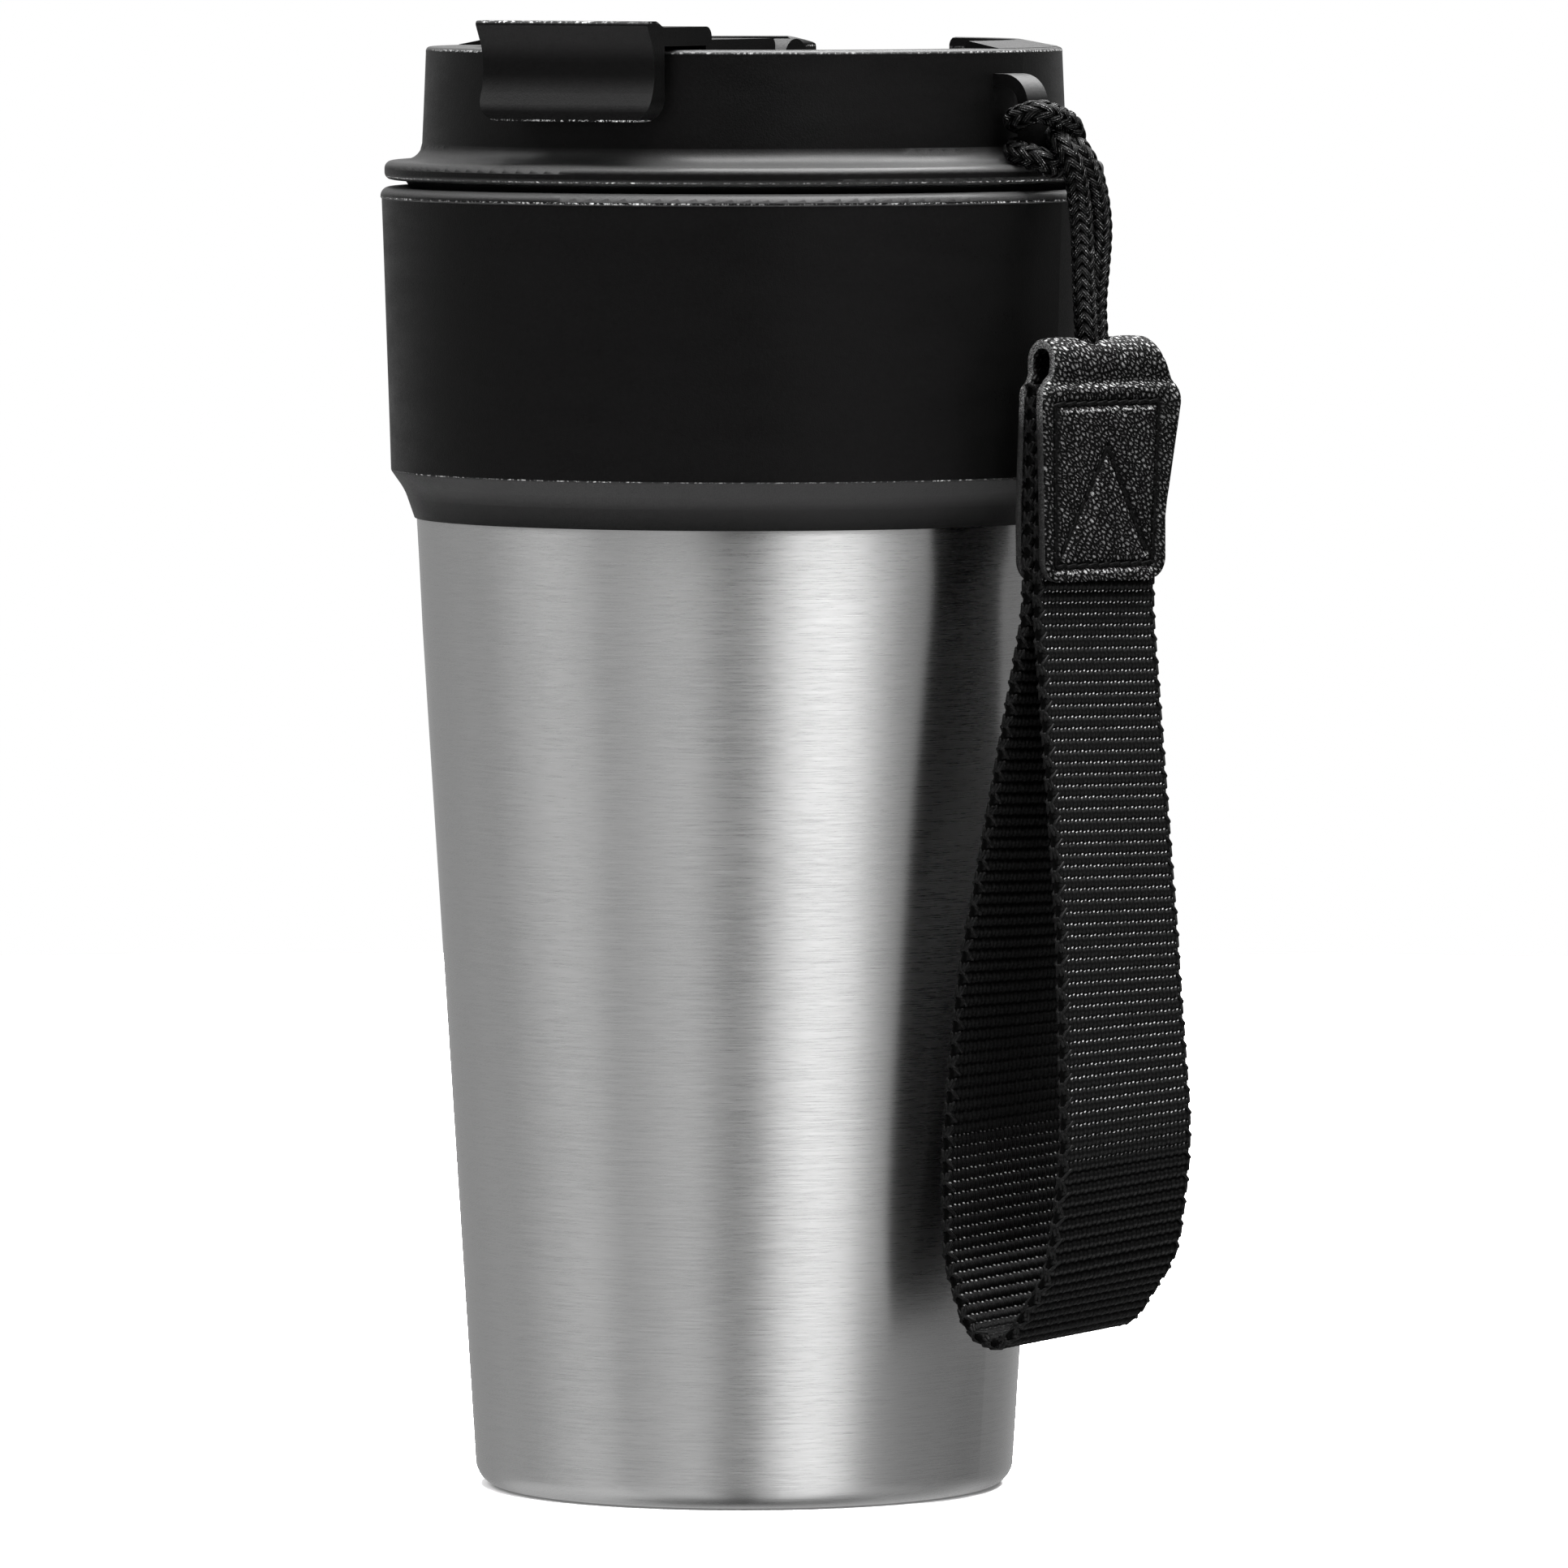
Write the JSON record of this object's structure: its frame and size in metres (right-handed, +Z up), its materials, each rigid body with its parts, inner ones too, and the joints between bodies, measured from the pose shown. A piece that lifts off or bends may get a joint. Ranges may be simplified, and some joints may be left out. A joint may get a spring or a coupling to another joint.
{
  "type": "insulated travel mug",
  "caption": "Tapered double-walled steel travel mug with a plastic collar, a screw lid with a flip flap over the sip hole, and a hanging webbing wrist strap.",
  "frame": {"origin": "centre of the foot ring on the resting plane", "axes": "+Z up along the mug's axis, -Y to the drinking side where the flap's finger tab hangs, +X about the side where the strap hangs"},
  "size_m": [0.106, 0.0894, 0.1807],
  "materials": {
    "shell_steel": "horizontally brushed, satin",
    "liner_steel": "electropolished inside, satin",
    "base_steel": "pressed, satin",
    "solder_glass": "dull fused drop",
    "getter_metal": "sintered grey pill",
    "black_plastic": "satin-matte with a fine moulded grain",
    "inner_plastic": "satin",
    "seal_silicone": "matte translucent silicone",
    "neck_silicone": "matte",
    "pin_steel": "ground rod",
    "cord_braid": "waxed round braid with a soft gloss",
    "cord_binding": "wound thread",
    "tab_leather": "fine pebbled grain, grey cut edges",
    "strap_webbing": "ribbed weave with a chain-stitch edge",
    "seam_thread": "twisted sewing thread"
  },
  "bodies": {
    "vessel": {"outer_shell": "shell_steel", "inner_liner": "liner_steel", "base_cap": "base_steel", "vacuum_plug": "solder_glass", "getter": "getter_metal", "collar": "black_plastic", "neck_seal": "neck_silicone"},
    "seal_ring": {"lid_seal": "seal_silicone"},
    "lid": {"lid_body": "black_plastic", "lid_inner": "inner_plastic", "hinge_pin": "pin_steel", "cord_hitch": "cord_braid"},
    "flap": {"flap": "black_plastic", "sip_plug": "seal_silicone", "vent_plug": "seal_silicone"},
    "cord": {"cord_left_strand": "cord_braid", "cord_right_strand": "cord_braid"},
    "strap": {"leather_tab": "tab_leather", "webbing_loop": "strap_webbing", "tab_stitching": "seam_thread", "cord_end_whipping": "cord_binding"}
  },
  "joints": [
    {"name": "lid_lift", "type": "slide", "parent": "vessel", "child": "seal_ring", "axis": [0, 0, 1], "range_m": [0, 0.0201]},
    {"name": "lid_turn", "type": "hinge", "parent": "seal_ring", "child": "lid", "pos_m": [0, 0, 0.16], "axis": [0, 0, 1], "range_deg": [0, 720]},
    {"name": "flap_hinge", "type": "hinge", "parent": "lid", "child": "flap", "pos_m": [0, -0.0085, 0.1754], "axis": [-1, 0, 0], "range_deg": [0, 125]},
    {"name": "cord_swing", "type": "hinge", "parent": "lid", "child": "cord", "pos_m": [0.04883, -0.00344, 0.161], "axis": [-0.1149, -0.9934, 0], "range_deg": [0, 95]},
    {"name": "tab_swing", "type": "hinge", "parent": "cord", "child": "strap", "pos_m": [0.0507, -0.00396, 0.1426], "axis": [-0.2588, -0.9659, 0], "range_deg": [0, 60]}
  ],
  "couplings": [
    {"joint": "lid_lift", "follows": "lid_turn", "m_per_rad": 0.0015915}
  ]
}
